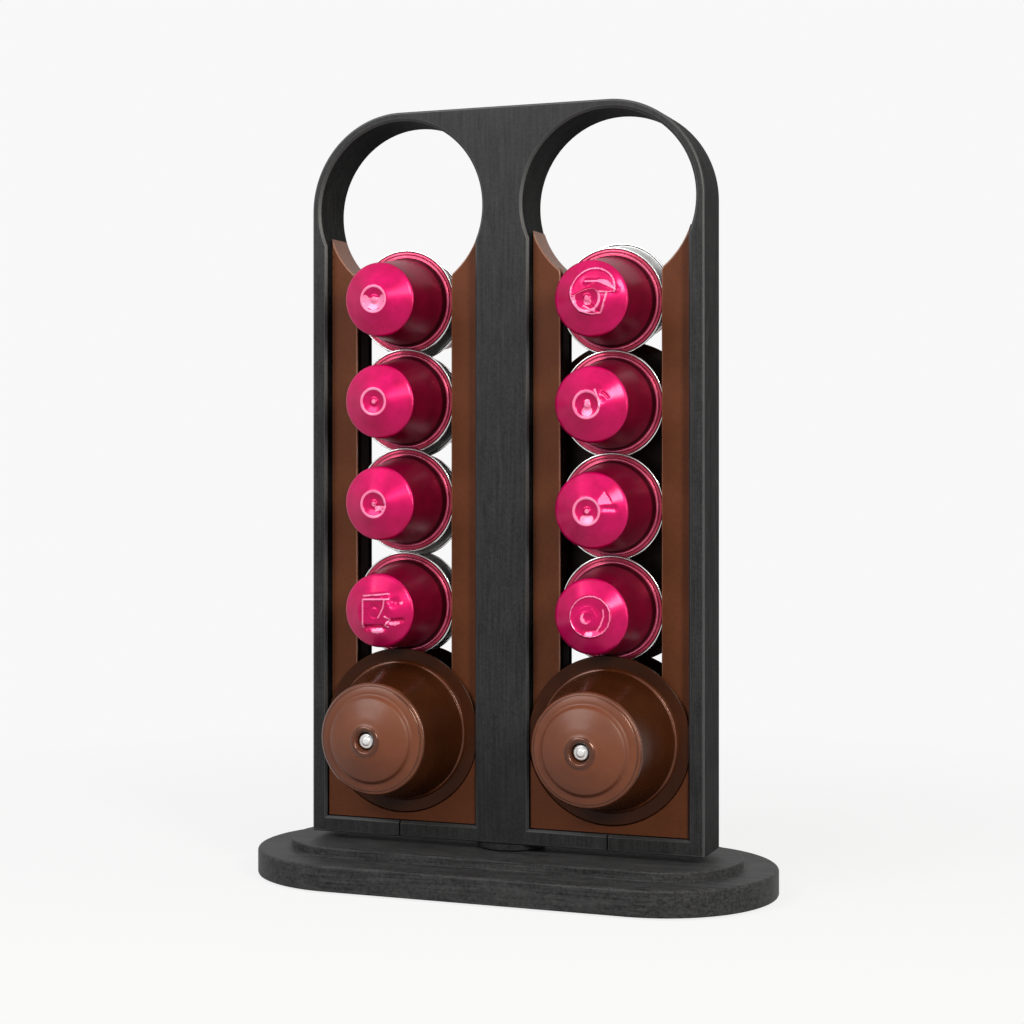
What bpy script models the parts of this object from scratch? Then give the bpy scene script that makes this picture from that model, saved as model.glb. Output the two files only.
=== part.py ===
"""Two-column capsule tower that turns on an oval base, loaded with capsules.

Metres, +Z up. The front faces -Y and the left column lies at -X. The origin is the
middle of the footprint, on the surface that the feet stand on. The tower's own
heights are measured from its underside, which the swivel empty carries.
"""
import math

import bmesh
import bpy

# Fits and cuts
SEAT_GAP = 0.0003
OVERRUN = 0.0015

# Base: one printed piece in two tiers with round ends
BASE_LENGTH = 0.188
BASE_WIDTH = 0.081
LOWER_TIER_HEIGHT = 0.0090
LOWER_TIER_CHAMFER = 0.0010
LOWER_EDGE_CHAMFER = 0.0006
UPPER_TIER_LENGTH = 0.1645
UPPER_TIER_WIDTH = 0.054
UPPER_TIER_HEIGHT = 0.0031
UPPER_TIER_CHAMFER = 0.0005
BASE_POCKET_DEPTH = 0.0060

# Rubber feet, let into the underside
FOOT_RADIUS = 0.0060
FOOT_THICKNESS = 0.0018
FOOT_PROUD = 0.0006
FOOT_EDGE = 0.0004
FOOT_END_INSET = 0.0260
FOOT_SIDE_INSET = 0.0130

# Pivot hardware
BOSS_RADIUS = 0.0120
BOSS_HEIGHT = 0.0021
SCREW_RADIUS = 0.0020
SCREW_HEAD_RADIUS = 0.0038
SCREW_HEAD_HEIGHT = 0.0024
SCREW_HEAD_EDGE = 0.0006
SCREW_SOCKET_RADIUS = 0.0017
SCREW_SOCKET_DEPTH = 0.0013
SCREW_PAST_INSERT = 0.0010
WASHER_RADIUS = 0.0060
WASHER_THICKNESS = 0.0010
BRASS_LENGTH = 0.0080
BRASS_WALL = 0.0009
BRASS_GROOVE_DEPTH = 0.0003
BRASS_RECESS = 0.0004
BLIND_HOLE_SPARE = 0.0012

# Tower frame
MOUTH_PLAY = 0.0020
MOUTH_HEIGHT = 0.2208
MIDDLE_WALL = 0.0148
FRAME_WALL = 0.0030
FRAME_DEPTH = 0.0205
FRAME_EDGE_CHAMFER = 0.0005
KEYHOLE_CHAMFER = 0.0008
FLOOR_THICKNESS = 0.0056
LARGE_RETENTION = 0.0005
LARGE_SIDE_PLAY = 0.0004
LIP_THICKNESS = 0.0012
SLIT_WIDTH = 0.0006
SLIT_DEPTH = 0.0020

# Large capsule, measured from the back of its flange towards its nose. The flange
# spans the channel and both rails, and its radius is worked out from them below.
LARGE_FLANGE_THICKNESS = 0.0008
LARGE_FLANGE_EDGE = 0.0002
LARGE_FLANGE_WIDTH = 0.0042
LARGE_LID_MARGIN = 0.0030
LARGE_BODY_TOP_RADIUS = 0.0193
LARGE_STEP_HEIGHT = 0.0255
LARGE_STEP_EDGE = 0.0007
LARGE_SHELF_RISE = 0.0022
LARGE_DOME_RADIUS = 0.0151
LARGE_DOME_CROWN = 0.0039
LARGE_RING_RADIUS = 0.0055
LARGE_RING_HEIGHT = 0.0008
LARGE_RING_EDGE = 0.0006
LARGE_FOOT_HEIGHT = 0.0010
# How far out the dome's shoulder lies, and how much of the crown it has lost there
DOME_SHOULDER_SHARES = (0.62, 0.40)

# Outlet bead in the nose of a large capsule
BEAD_RADIUS = 0.0026
BEAD_SHANK = 0.0012
BEAD_CROWN = 0.0009
BEAD_RECESS = 0.0009
# How far out the bead's shoulder lies, and how much of its crown it has there
BEAD_SHOULDER_SHARES = (0.6, 0.7)

# Small capsule, measured from the back of its rim towards its nose
SMALL_RIM_RADIUS = 0.0185
SMALL_RIM_THICKNESS = 0.0008
SMALL_RIM_WIDTH = 0.0009
SMALL_FLANGE_THICKNESS = 0.0002
SMALL_FLANGE_WIDTH = 0.0035
SMALL_FOOT_FLARE = 0.0009
SMALL_FOOT_HEIGHT = 0.0018
SMALL_BODY_TOP_RADIUS = 0.0124
SMALL_BODY_HEIGHT = 0.0238
SMALL_SHOULDER = 0.0005
SMALL_CONE_HEIGHT = 0.0051
SMALL_RING_RADIUS = 0.0050
SMALL_DIMPLE_RADIUS = 0.0036
SMALL_DIMPLE_DEPTH = 0.0009
SMALL_NUB_RADIUS = 0.0015

# Small stacks: a foot rests on the rim below, but one pair stands rim upon rim
STACK_PLAY = 0.0006
RIM_LAP = 0.0002

# Foil lids
LID_THICKNESS = 0.0003

# Column inserts
SMALL_RETENTION = 0.0005
SMALL_SIDE_PLAY = 0.0004
INSERT_LIP = 0.0008
RAIL_WIDTH = 0.0100
INSERT_MOUTH_STEP = 0.0013
INSERT_CORNER = 0.0030
INSERT_EDGE_CHAMFER = 0.0003
LARGE_REST_HEIGHT = 0.0023

# Capsules in each bay, from the floor up
BAYS = {
    ("front", "left"): ("large", "small", "small", "small", "small"),
    ("front", "right"): ("large", "small", "small", "small", "small"),
    ("rear", "left"): ("large", "small", "small", "small", "small"),
    ("rear", "right"): ("large", "large", "large", "small"),
}
# The bay with the pair that stands rim upon rim, and the upper one's place above the lowest
BUTTED = (("front", "left"), 2)

# Facets
BASE_END_STEPS = 18
MOUTH_STEPS = 40
CORNER_STEPS = 14
CHANNEL_STEPS = 18
SEAT_STEPS = 18
FILLET_STEPS = 4
RAIL_STEPS = 5
SMALL_STEPS = 16
LARGE_STEPS = 24
HARDWARE_STEPS = 12
BEAD_STEPS = 12
HEX_SIDES = 6
SMOOTH_ANGLE = math.radians(32)

# Values worked out from the sizes above
BASE_TOP = FOOT_PROUD + LOWER_TIER_HEIGHT + UPPER_TIER_HEIGHT
TOWER_BOTTOM = BASE_TOP + SEAT_GAP + BOSS_HEIGHT
CHANNEL_HALF_WIDTH = SMALL_RIM_RADIUS - SMALL_RETENTION
INSERT_HALF_WIDTH = CHANNEL_HALF_WIDTH + RAIL_WIDTH
SLOT_HALF_WIDTH = INSERT_HALF_WIDTH + SEAT_GAP
LARGE_FLANGE_RADIUS = SLOT_HALF_WIDTH + LARGE_RETENTION
MOUTH_RADIUS = LARGE_FLANGE_RADIUS + MOUTH_PLAY
INSERT_MOUTH_RADIUS = MOUTH_RADIUS - INSERT_MOUTH_STEP
COLUMN_SPACING = 2 * MOUTH_RADIUS + MIDDLE_WALL
COLUMN_X = {"left": -COLUMN_SPACING / 2, "right": COLUMN_SPACING / 2}
FACING = {"front": 0.0, "rear": math.pi}
FRAME_CORNER_RADIUS = MOUTH_RADIUS + FRAME_WALL
FRAME_HALF_WIDTH = COLUMN_SPACING / 2 + FRAME_CORNER_RADIUS
LARGE_BODY_RADIUS = LARGE_FLANGE_RADIUS - LARGE_FLANGE_WIDTH
LARGE_LID_RADIUS = LARGE_FLANGE_RADIUS - LARGE_LID_MARGIN
LARGE_PITCH = LARGE_FLANGE_RADIUS + SEAT_GAP + LARGE_BODY_RADIUS
LARGE_TILT = math.asin((LARGE_FLANGE_THICKNESS + SEAT_GAP) / LARGE_PITCH)
LARGE_SWING = 2 * LARGE_FLANGE_RADIUS * math.sin(LARGE_TILT)
LARGE_GROOVE = LARGE_FLANGE_THICKNESS + LARGE_SWING + 2 * SEAT_GAP
LARGE_TRACK_FACE = FRAME_DEPTH / 2 - LIP_THICKNESS
INSERT_HALF_DEPTH = LARGE_TRACK_FACE - LARGE_GROOVE
SMALL_BODY_RADIUS = SMALL_RIM_RADIUS - SMALL_FLANGE_WIDTH
SMALL_FOOT_RADIUS = SMALL_BODY_RADIUS + SMALL_FOOT_FLARE
SMALL_PITCH = SMALL_RIM_RADIUS + SMALL_FOOT_RADIUS + STACK_PLAY
BUTTED_PITCH = 2 * SMALL_RIM_RADIUS - RIM_LAP
SMALL_TILT = math.asin((SMALL_RIM_THICKNESS + SEAT_GAP) / SMALL_PITCH)
SMALL_SWING = 2 * SMALL_RIM_RADIUS * math.sin(SMALL_TILT)
SMALL_GROOVE = SMALL_RIM_THICKNESS + SMALL_SWING + 2 * SEAT_GAP
SMALL_PLANE = INSERT_HALF_DEPTH - INSERT_LIP - SMALL_GROOVE / 2
FLOOR_REST = FLOOR_THICKNESS + SEAT_GAP + LARGE_REST_HEIGHT + SEAT_GAP
LOWEST_LARGE = FLOOR_REST + LARGE_FLANGE_RADIUS
SMALL_OVER_LARGE = LARGE_FLANGE_RADIUS + SEAT_GAP + SMALL_BODY_RADIUS
LID_RECESS = LID_THICKNESS + SEAT_GAP
LARGE_DOME_EDGE = LARGE_STEP_HEIGHT + LARGE_SHELF_RISE
LARGE_NOSE = LARGE_DOME_EDGE + LARGE_DOME_CROWN
BEAD_TOP = LARGE_NOSE + LARGE_RING_HEIGHT - BEAD_RECESS
BEAD_LOW = BEAD_TOP - BEAD_CROWN - BEAD_SHANK


def clear_scene():
    for old in list(bpy.data.objects):
        bpy.data.objects.remove(old, do_unlink=True)


def material(name, colour, roughness, metallic=0.0):
    made = bpy.data.materials.new(name)
    made.use_nodes = True
    shader = made.node_tree.nodes["Principled BSDF"]
    shader.inputs["Base Color"].default_value = (*colour, 1.0)
    shader.inputs["Roughness"].default_value = roughness
    shader.inputs["Metallic"].default_value = metallic
    return made


def add_object(name, bm, finish=None):
    """Turn a bmesh into an object with outward faces and smooth round sides."""
    bmesh.ops.recalc_face_normals(bm, faces=bm.faces)
    mesh = bpy.data.meshes.new(name)
    bm.to_mesh(mesh)
    bm.free()
    mesh.shade_smooth()
    mesh.set_sharp_from_angle(angle=SMOOTH_ANGLE)
    made = bpy.data.objects.new(name, mesh)
    bpy.context.scene.collection.objects.link(made)
    if finish is not None:
        mesh.materials.append(finish)
    return made


def combine(target, tool, operation):
    """Apply a hidden tool shape to a piece with a Boolean modifier."""
    tool.hide_render = True
    tool.display_type = 'WIRE'
    step = target.modifiers.new(tool.name, 'BOOLEAN')
    step.operation = operation
    step.solver = 'EXACT'
    step.object = tool


def arc(centre_x, centre_z, radius, start, end, steps):
    """Points on a circle from one angle to another, both ends included."""
    turn = (end - start) / steps
    angles = [start + turn * i for i in range(steps + 1)]
    return [(centre_x + radius * math.cos(a), centre_z + radius * math.sin(a)) for a in angles]


def ring_of(bm, outline, depth):
    """A closed ring of vertices from an outline in X and Z at one depth Y."""
    return [bm.verts.new((x, depth, z)) for x, z in outline]


def bridge(bm, near, far):
    """Quads between two rings that have the same number of vertices."""
    count = len(near)
    for i in range(count):
        j = (i + 1) % count
        bm.faces.new((near[i], near[j], far[j], far[i]))


def fill(bm, rings):
    """Close flat rings, the first of them the outside and the others holes."""
    edges = []
    for ring in rings:
        for i, vert in enumerate(ring):
            after = ring[(i + 1) % len(ring)]
            edges.append(bm.edges.get((vert, after)) or bm.edges.new((vert, after)))
    bmesh.ops.triangle_fill(bm, edges=edges, use_beauty=True)


def plate(bm, shapes, half_depth):
    """A plate across Y from its outline and its holes, each with its own chamfer.

    A shape is a function of how far its edge is eased.
    """
    stacks = []
    for shape, chamfer in shapes:
        levels = [(-half_depth, chamfer), (-half_depth + chamfer, 0.0)]
        levels += [(half_depth - chamfer, 0.0), (half_depth, chamfer)]
        stack = [ring_of(bm, shape(eased), depth) for depth, eased in levels]
        for near, far in zip(stack, stack[1:]):
            bridge(bm, near, far)
        stacks.append(stack)
    fill(bm, [stack[0] for stack in stacks])
    fill(bm, [stack[-1] for stack in stacks])


def slab(bm, outline, front, back):
    """A straight-sided slab between two depths."""
    near = ring_of(bm, outline, front)
    far = ring_of(bm, outline, back)
    bridge(bm, near, far)
    fill(bm, [near])
    fill(bm, [far])


def rectangle(left, right, low, high):
    return [(left, low), (right, low), (right, high), (left, high)]


def revolve(bm, profile, steps, centre=(0.0, 0.0)):
    """Turn a profile of radius and height about Z. Radius zero makes one point."""
    rows = []
    for radius, height in profile:
        if radius == 0.0:
            rows.append([bm.verts.new((centre[0], centre[1], height))])
            continue
        row = []
        for i in range(steps):
            angle = 2 * math.pi * i / steps
            x = centre[0] + radius * math.cos(angle)
            y = centre[1] + radius * math.sin(angle)
            row.append(bm.verts.new((x, y, height)))
        rows.append(row)
    for near, far in zip(rows, rows[1:]):
        for i in range(steps):
            j = (i + 1) % steps
            corners = [near[i % len(near)], near[j % len(near)], far[j % len(far)], far[i % len(far)]]
            bm.faces.new(list(dict.fromkeys(corners)))
    return rows


def stadium(length, width, inset, height):
    """A ring with round ends, seen from above, drawn in by an inset."""
    radius = width / 2 - inset
    straight = (length - width) / 2
    quarter = math.pi / 2
    right = arc(straight, 0.0, radius, -quarter, quarter, BASE_END_STEPS)
    left = arc(-straight, 0.0, radius, quarter, 3 * quarter, BASE_END_STEPS)
    return [(x, y, height) for x, y in right + left]


def foot_places():
    """Foot centres, set in from the ends of the lower tier."""
    along = BASE_LENGTH / 2 - FOOT_END_INSET
    across = BASE_WIDTH / 2 - FOOT_SIDE_INSET
    for side, y in (("front", -across), ("rear", across)):
        for column, x in (("left", -along), ("right", along)):
            yield side + "_" + column, (x, y)


def make_base(finish):
    low = FOOT_PROUD
    shelf = low + LOWER_TIER_HEIGHT
    lower = (BASE_LENGTH, BASE_WIDTH)
    upper = (UPPER_TIER_LENGTH, UPPER_TIER_WIDTH)
    sections = [
        (*lower, LOWER_EDGE_CHAMFER, low),
        (*lower, 0.0, low + LOWER_EDGE_CHAMFER),
        (*lower, 0.0, shelf - LOWER_TIER_CHAMFER),
        (*lower, LOWER_TIER_CHAMFER, shelf),
        (*upper, 0.0, shelf),
        (*upper, 0.0, BASE_TOP - UPPER_TIER_CHAMFER),
        (*upper, UPPER_TIER_CHAMFER, BASE_TOP),
    ]
    bm = bmesh.new()
    rings = [[bm.verts.new(p) for p in stadium(*section)] for section in sections]
    for near, far in zip(rings, rings[1:]):
        bridge(bm, near, far)
    bm.faces.new(rings[0])
    bm.faces.new(rings[-1])
    base = add_object("base", bm, finish)

    ceiling = FOOT_PROUD + BASE_POCKET_DEPTH
    pocket_radius = WASHER_RADIUS + 2 * SEAT_GAP
    bore_radius = SCREW_RADIUS + SEAT_GAP
    bm = bmesh.new()
    pivot = [(0.0, low - OVERRUN), (pocket_radius, low - OVERRUN), (pocket_radius, ceiling)]
    pivot += [(bore_radius, ceiling), (bore_radius, BASE_TOP + OVERRUN), (0.0, BASE_TOP + OVERRUN)]
    revolve(bm, pivot, HARDWARE_STEPS)
    roof = FOOT_THICKNESS + SEAT_GAP
    for _, centre in foot_places():
        recess = FOOT_RADIUS + SEAT_GAP
        well = [(0.0, low - OVERRUN), (recess, low - OVERRUN), (recess, roof), (0.0, roof)]
        revolve(bm, well, HARDWARE_STEPS, centre)
    combine(base, add_object("base_cutter", bm), 'DIFFERENCE')


def make_feet(finish):
    for name, centre in foot_places():
        bm = bmesh.new()
        profile = [(0.0, 0.0), (FOOT_RADIUS - FOOT_EDGE, 0.0), (FOOT_RADIUS, FOOT_EDGE)]
        profile += [(FOOT_RADIUS, FOOT_THICKNESS), (0.0, FOOT_THICKNESS)]
        revolve(bm, profile, HARDWARE_STEPS)
        foot = add_object("foot_" + name, bm, finish)
        foot.location = (*centre, 0.0)


def make_pivot(steel, brass, swivel):
    """Screw and washer from below, into a brass insert in the tower's boss."""
    washer_top = FOOT_PROUD + BASE_POCKET_DEPTH - SEAT_GAP
    washer_low = washer_top - WASHER_THICKNESS
    hole = SCREW_RADIUS + SEAT_GAP
    bm = bmesh.new()
    section = [(hole, washer_low), (WASHER_RADIUS, washer_low)]
    section += [(WASHER_RADIUS, washer_top), (hole, washer_top)]
    rows = revolve(bm, section, HARDWARE_STEPS)
    bridge(bm, rows[-1], rows[0])
    add_object("pivot_washer", bm, steel)

    brass_low = -BOSS_HEIGHT + BRASS_RECESS
    brass_high = brass_low + BRASS_LENGTH
    brass_radius = hole + BRASS_WALL
    middle = (brass_low + brass_high) / 2
    waist = brass_radius - BRASS_GROOVE_DEPTH
    bm = bmesh.new()
    section = [(hole, brass_low), (brass_radius, brass_low), (brass_radius, middle - BRASS_WALL)]
    section += [(waist, middle - BRASS_GROOVE_DEPTH), (waist, middle + BRASS_GROOVE_DEPTH)]
    section += [(brass_radius, middle + BRASS_WALL), (brass_radius, brass_high), (hole, brass_high)]
    rows = revolve(bm, section, HARDWARE_STEPS)
    bridge(bm, rows[-1], rows[0])
    add_object("threaded_insert", bm, brass).parent = swivel

    head_top = washer_low - SEAT_GAP - TOWER_BOTTOM
    head_low = head_top - SCREW_HEAD_HEIGHT
    tip = brass_high + SCREW_PAST_INSERT
    bm = bmesh.new()
    profile = [(0.0, head_low), (SCREW_HEAD_RADIUS - SCREW_HEAD_EDGE, head_low)]
    profile += [(SCREW_HEAD_RADIUS, head_low + SCREW_HEAD_EDGE), (SCREW_HEAD_RADIUS, head_top)]
    profile += [(SCREW_RADIUS, head_top), (SCREW_RADIUS, tip - SCREW_HEAD_EDGE)]
    profile += [(SCREW_RADIUS - SCREW_HEAD_EDGE, tip), (0.0, tip)]
    revolve(bm, profile, HARDWARE_STEPS)
    screw = add_object("pivot_screw", bm, steel)
    screw.parent = swivel
    bm = bmesh.new()
    socket_top = head_low + SCREW_SOCKET_DEPTH
    socket = [(0.0, head_low - OVERRUN), (SCREW_SOCKET_RADIUS, head_low - OVERRUN)]
    socket += [(SCREW_SOCKET_RADIUS, socket_top), (0.0, socket_top)]
    revolve(bm, socket, HEX_SIDES)
    cutter = add_object("socket_cutter", bm)
    cutter.parent = swivel
    combine(screw, cutter, 'DIFFERENCE')


def frame_outline(eased):
    """The tower's silhouette: square feet and large corners round the mouths."""
    side = FRAME_HALF_WIDTH - eased
    radius = FRAME_CORNER_RADIUS - eased
    right = arc(COLUMN_X["right"], MOUTH_HEIGHT, radius, 0.0, math.pi / 2, CORNER_STEPS)
    left = arc(COLUMN_X["left"], MOUTH_HEIGHT, radius, math.pi / 2, math.pi, CORNER_STEPS)
    return [(-side, eased), (side, eased)] + right + left


def keyhole(column):
    """A round mouth that runs down into a straight slot a little narrower than it."""
    middle = COLUMN_X[column]

    def outline(eased):
        half = SLOT_HALF_WIDTH + eased
        radius = MOUTH_RADIUS + eased
        join = math.acos(half / radius)
        mouth = arc(middle, MOUTH_HEIGHT, radius, -join, math.pi + join, MOUTH_STEPS)
        floor = FLOOR_THICKNESS - eased
        return [(middle - half, floor), (middle + half, floor)] + mouth

    return outline


def make_frame(finish, swivel):
    bm = bmesh.new()
    shapes = [(frame_outline, FRAME_EDGE_CHAMFER)]
    shapes += [(keyhole(column), KEYHOLE_CHAMFER) for column in COLUMN_X]
    plate(bm, shapes, FRAME_DEPTH / 2)
    frame = add_object("tower_frame", bm, finish)
    frame.parent = swivel

    core = FRAME_DEPTH / 2 - FRAME_EDGE_CHAMFER - SEAT_GAP
    core_top = FLOOR_THICKNESS / 2
    boss = [(0.0, -BOSS_HEIGHT), (BOSS_RADIUS, -BOSS_HEIGHT), (BOSS_RADIUS, 0.0)]
    boss += [(core, 0.0), (core, core_top), (0.0, core_top)]
    bm = bmesh.new()
    revolve(bm, boss, LARGE_STEPS)
    tool = add_object("boss_tool", bm)
    tool.parent = swivel
    combine(frame, tool, 'UNION')

    tracks = bmesh.new()
    slits = bmesh.new()
    face = FRAME_DEPTH / 2
    outer = LARGE_TRACK_FACE
    wide = LARGE_FLANGE_RADIUS + LARGE_SIDE_PLAY
    narrow = SLIT_WIDTH / 2
    for middle in COLUMN_X.values():
        track = rectangle(middle - wide, middle + wide, FLOOR_THICKNESS, MOUTH_HEIGHT)
        slab(tracks, track, -outer, -outer + LARGE_GROOVE)
        slab(tracks, track, outer - LARGE_GROOVE, outer)
        top = FLOOR_THICKNESS + OVERRUN
        slit = rectangle(middle - narrow, middle + narrow, -OVERRUN, top)
        slab(slits, slit, -face - OVERRUN, -face + SLIT_DEPTH)
        slab(slits, slit, face - SLIT_DEPTH, face + OVERRUN)
    hole = SCREW_RADIUS + SEAT_GAP + BRASS_WALL + SEAT_GAP
    screw_tip = -BOSS_HEIGHT + BRASS_RECESS + BRASS_LENGTH + SCREW_PAST_INSERT
    hole_top = screw_tip + BLIND_HOLE_SPARE
    mouth = -BOSS_HEIGHT - OVERRUN
    blind_hole = [(0.0, mouth), (hole, mouth), (hole, hole_top), (0.0, hole_top)]
    revolve(slits, blind_hole, HARDWARE_STEPS)
    for name, bm in (("frame_track_cutter", tracks), ("frame_slit_cutter", slits)):
        cutter = add_object(name, bm)
        cutter.parent = swivel
        combine(frame, cutter, 'DIFFERENCE')


def channel(half, top, steps):
    """A slot open at the top, whose round end is centred on the lowest large capsule."""
    return [(half, top)] + arc(0.0, LOWEST_LARGE, half, 0.0, -math.pi, steps) + [(-half, top)]


def insert_outline(eased):
    """Half by half: side, mouth arc, rounded corner, then down the channel and up again."""
    half = INSERT_HALF_WIDTH - eased
    low = FLOOR_THICKNESS + SEAT_GAP + eased
    radius = INSERT_MOUTH_RADIUS + eased
    edge = CHANNEL_HALF_WIDTH + eased
    corner = INSERT_CORNER - eased
    corner_x = edge + corner
    reach = radius + corner
    corner_z = MOUTH_HEIGHT - math.sqrt(reach ** 2 - corner_x ** 2)
    lean = math.acos(corner_x / reach)
    tip = math.acos(half / radius)
    rim = arc(0.0, MOUTH_HEIGHT, radius, -tip, -lean, RAIL_STEPS)
    nose = arc(corner_x, corner_z, corner, math.pi - lean, math.pi, FILLET_STEPS)
    right = rim + nose[1:]
    left = [(-x, z) for x, z in reversed(right)]
    well = arc(0.0, LOWEST_LARGE, edge, 0.0, -math.pi, CHANNEL_STEPS)
    return [(-half, low), (half, low)] + right + well + left


def seat_outline():
    """A block as wide as the insert, hollowed to cradle the lowest large flange."""
    low = FLOOR_THICKNESS + SEAT_GAP
    hollow = LARGE_FLANGE_RADIUS + SEAT_GAP
    lean = math.acos(INSERT_HALF_WIDTH / hollow)
    cradle = arc(0.0, LOWEST_LARGE, hollow, -lean, -math.pi + lean, SEAT_STEPS)
    return [(-INSERT_HALF_WIDTH, low), (INSERT_HALF_WIDTH, low)] + cradle


def make_insert(column, finish, swivel):
    bm = bmesh.new()
    plate(bm, [(insert_outline, INSERT_EDGE_CHAMFER)], INSERT_HALF_DEPTH)
    insert = add_object(column + "_insert", bm, finish)
    insert.parent = swivel
    insert.location.x = COLUMN_X[column]

    bm = bmesh.new()
    reach = LARGE_TRACK_FACE - SEAT_GAP
    slab(bm, seat_outline(), -reach, reach)
    tool = add_object(column + "_seat_tool", bm)
    tool.parent = swivel
    tool.location.x = COLUMN_X[column]
    combine(insert, tool, 'UNION')

    bm = bmesh.new()
    track = channel(SMALL_RIM_RADIUS + SMALL_SIDE_PLAY, MOUTH_HEIGHT, CHANNEL_STEPS)
    outer = INSERT_HALF_DEPTH - INSERT_LIP
    slab(bm, track, -outer, -outer + SMALL_GROOVE)
    slab(bm, track, outer - SMALL_GROOVE, outer)
    cutter = add_object(column + "_insert_cutter", bm)
    cutter.parent = swivel
    cutter.location.x = COLUMN_X[column]
    combine(insert, cutter, 'DIFFERENCE')


def small_profile():
    """Nub, dimple, ring, cone, tapered side, flared foot, flange and rolled rim."""
    top = SMALL_BODY_HEIGHT + SMALL_CONE_HEIGHT
    floor = top - SMALL_DIMPLE_DEPTH
    shelf = LID_RECESS + SMALL_FLANGE_THICKNESS
    rim_middle = SMALL_RIM_RADIUS - SMALL_RIM_WIDTH / 2
    return [
        (0.0, floor + SMALL_DIMPLE_DEPTH / 2),
        (SMALL_NUB_RADIUS, floor),
        (SMALL_DIMPLE_RADIUS, floor),
        (SMALL_RING_RADIUS, top),
        (SMALL_BODY_TOP_RADIUS, SMALL_BODY_HEIGHT),
        (SMALL_BODY_TOP_RADIUS + SMALL_SHOULDER, SMALL_BODY_HEIGHT - SMALL_SHOULDER),
        (SMALL_BODY_RADIUS, shelf + SMALL_FOOT_HEIGHT),
        (SMALL_FOOT_RADIUS, shelf),
        (rim_middle, SMALL_RIM_THICKNESS),
        (SMALL_RIM_RADIUS, SMALL_RIM_THICKNESS / 2),
        (rim_middle, 0.0),
        (SMALL_RIM_RADIUS - SMALL_RIM_WIDTH, LID_RECESS),
        (0.0, LID_RECESS),
    ]


def large_profile():
    """Bead well, raised ring, dome, shelf, tapered side and flange of a large capsule."""
    well = BEAD_RADIUS + SEAT_GAP
    well_floor = BEAD_LOW - SEAT_GAP
    ring_top = LARGE_NOSE + LARGE_RING_HEIGHT
    out_share, drop_share = DOME_SHOULDER_SHARES
    lid_edge = LARGE_LID_RADIUS + SEAT_GAP
    return [
        (0.0, well_floor),
        (well, well_floor),
        (well + LARGE_RING_EDGE, ring_top),
        (LARGE_RING_RADIUS - LARGE_RING_EDGE, ring_top),
        (LARGE_RING_RADIUS, LARGE_NOSE),
        (LARGE_DOME_RADIUS * out_share, LARGE_NOSE - LARGE_DOME_CROWN * drop_share),
        (LARGE_DOME_RADIUS, LARGE_DOME_EDGE),
        (LARGE_BODY_TOP_RADIUS - LARGE_STEP_EDGE, LARGE_STEP_HEIGHT),
        (LARGE_BODY_TOP_RADIUS, LARGE_STEP_HEIGHT - LARGE_STEP_EDGE),
        (LARGE_BODY_RADIUS - LARGE_STEP_EDGE, LARGE_FLANGE_THICKNESS + LARGE_FOOT_HEIGHT),
        (LARGE_BODY_RADIUS, LARGE_FLANGE_THICKNESS),
        (LARGE_FLANGE_RADIUS - LARGE_FLANGE_EDGE, LARGE_FLANGE_THICKNESS),
        (LARGE_FLANGE_RADIUS, LARGE_FLANGE_THICKNESS - LARGE_FLANGE_EDGE),
        (LARGE_FLANGE_RADIUS, 0.0),
        (lid_edge, 0.0),
        (lid_edge, LID_RECESS),
        (0.0, LID_RECESS),
    ]


def lid_profile(radius):
    return [(0.0, 0.0), (radius, 0.0), (radius, LID_THICKNESS), (0.0, LID_THICKNESS)]


def bead_profile():
    out_share, crown_share = BEAD_SHOULDER_SHARES
    shank_top = BEAD_LOW + BEAD_SHANK
    shoulder = (BEAD_RADIUS * out_share, shank_top + BEAD_CROWN * crown_share)
    return [(0.0, BEAD_LOW), (BEAD_RADIUS, BEAD_LOW), (BEAD_RADIUS, shank_top), shoulder,
            (0.0, BEAD_TOP)]


def shared_mesh(name, profile, steps, finish):
    """One turned mesh that every capsule piece of its kind uses."""
    bm = bmesh.new()
    revolve(bm, profile, steps)
    made = add_object(name, bm, finish)
    mesh = made.data
    bpy.data.objects.remove(made)
    return mesh


def stack_heights(bay):
    """Heights of a bay's capsules, at their centres, above the tower's underside."""
    kinds = BAYS[bay]
    steps = {("large", "large"): LARGE_PITCH, ("large", "small"): SMALL_OVER_LARGE,
             ("small", "small"): SMALL_PITCH}
    heights = [LOWEST_LARGE]
    for i, pair in enumerate(zip(kinds, kinds[1:]), 1):
        step = BUTTED_PITCH if (bay, i) == BUTTED else steps[pair]
        heights.append(heights[-1] + step)
    return heights


def flange_place(kind, kinds):
    """Depth of a flange's middle plane, and how far the capsule nods forward.

    Capsules of one size overlap like shingles: each lower flange stands in front of
    the next one up, so all of them lean by the angle that their rims need. A large
    capsule by itself stands straight against the lips.
    """
    if kind == "small":
        return SMALL_PLANE, SMALL_TILT
    if kinds.count("large") > 1:
        return LARGE_TRACK_FACE - LARGE_GROOVE / 2, LARGE_TILT
    return LARGE_TRACK_FACE - SEAT_GAP - LARGE_FLANGE_THICKNESS / 2, 0.0


def place_capsule(pieces, name, kind, place, swivel):
    """Hang a capsule's pieces on an empty at its flange, nose outwards."""
    side, column, plane, tilt, height = place
    hold = bpy.data.objects.new(name + "_seat", None)
    bpy.context.scene.collection.objects.link(hold)
    hold.parent = swivel
    outwards = -1.0 if side == "front" else 1.0
    hold.location = (COLUMN_X[column], outwards * plane, height)
    hold.rotation_euler = (math.pi / 2 + tilt, 0.0, FACING[side])
    thickness = SMALL_RIM_THICKNESS if kind == "small" else LARGE_FLANGE_THICKNESS
    for piece, mesh in pieces[kind].items():
        made = bpy.data.objects.new(name + "_" + piece, mesh)
        bpy.context.scene.collection.objects.link(made)
        made.parent = hold
        made.location.z = -thickness / 2


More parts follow.
